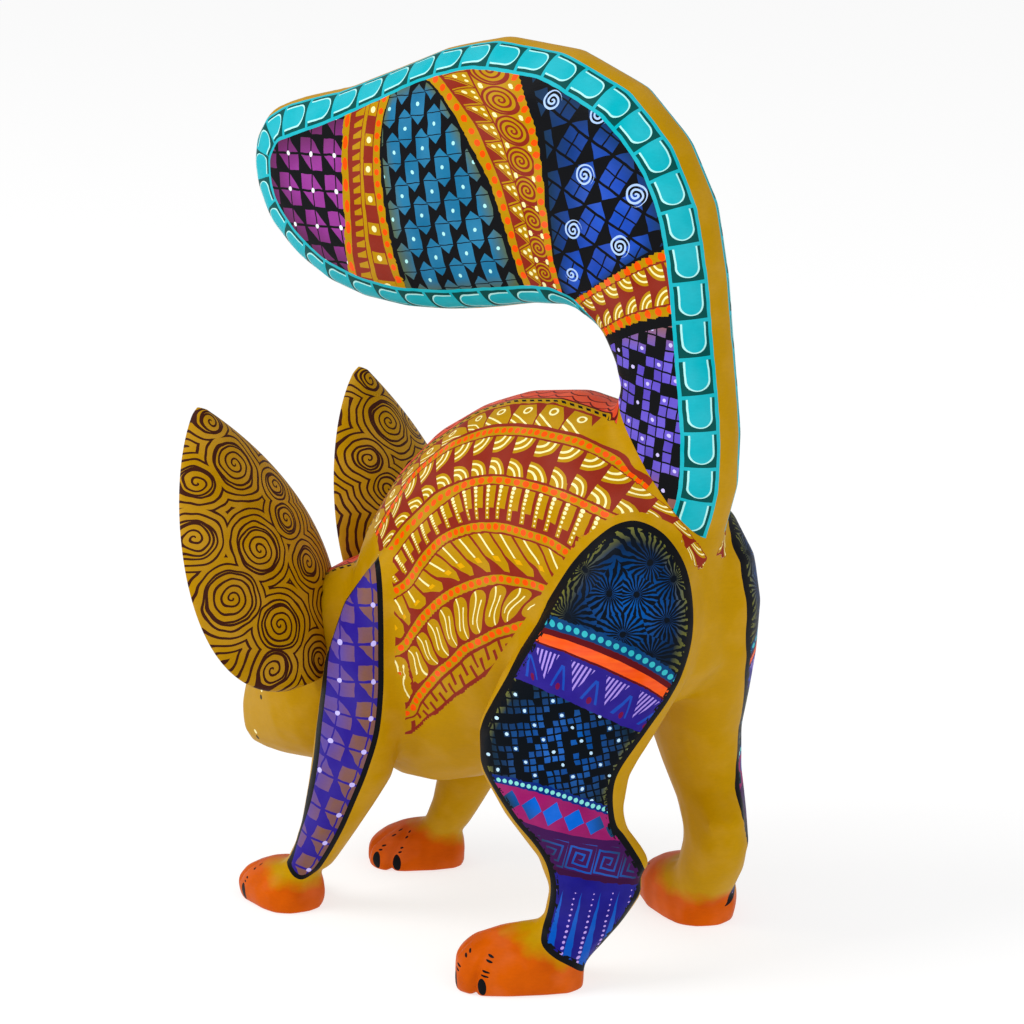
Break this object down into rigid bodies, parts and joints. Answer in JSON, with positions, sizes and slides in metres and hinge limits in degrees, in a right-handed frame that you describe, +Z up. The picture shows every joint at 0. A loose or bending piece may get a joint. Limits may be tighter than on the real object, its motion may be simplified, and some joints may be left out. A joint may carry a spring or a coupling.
{
  "type": "carved wooden fox figure",
  "caption": "Hand-carved, painted wooden fox figure standing with its head low, large upright ears and a thick tail arched forward over its back.",
  "frame": {"origin": "on the surface the figure stands on, under the middle of its outline", "axes": "+Z up, the head looks along -Y, +X is the figure's left side"},
  "size_m": [0.1318, 0.188, 0.2796],
  "materials": {
    "body_paint": "satin mustard paint with brick-red and pale-yellow patterns",
    "tail_paint": "satin turquoise, black, blue and ochre patterned paint",
    "hind_leg_paint": "satin black and blue patterned paint, orange paw",
    "foreleg_paint": "satin violet-blue patterned paint, orange paw",
    "ear_paint": "satin mustard paint with dark brown spirals",
    "bare_wood": "bare sanded dowel"
  },
  "bodies": {
    "figure": {"torso": "body_paint", "hind_leg_left": "hind_leg_paint", "hind_leg_right": "hind_leg_paint", "foreleg_left": "foreleg_paint", "foreleg_right": "foreleg_paint", "hip_dowel_upper": "bare_wood", "hip_dowel_lower": "bare_wood", "shoulder_dowel_left": "bare_wood", "shoulder_dowel_right": "bare_wood"},
    "tail": {"tail": "tail_paint"},
    "ear_left": {"ear_left": "ear_paint"},
    "ear_right": {"ear_right": "ear_paint"}
  },
  "joints": [
    {"name": "tail_pull", "type": "slide", "parent": "figure", "child": "tail", "axis": [0, 0.7915, 0.6112], "range_m": [0, 0.018]},
    {"name": "ear_left_pull", "type": "slide", "parent": "figure", "child": "ear_left", "axis": [0.5906, -0.3203, 0.7407], "range_m": [0, 0.013]},
    {"name": "ear_right_pull", "type": "slide", "parent": "figure", "child": "ear_right", "axis": [-0.5906, -0.3203, 0.7407], "range_m": [0, 0.013]}
  ]
}
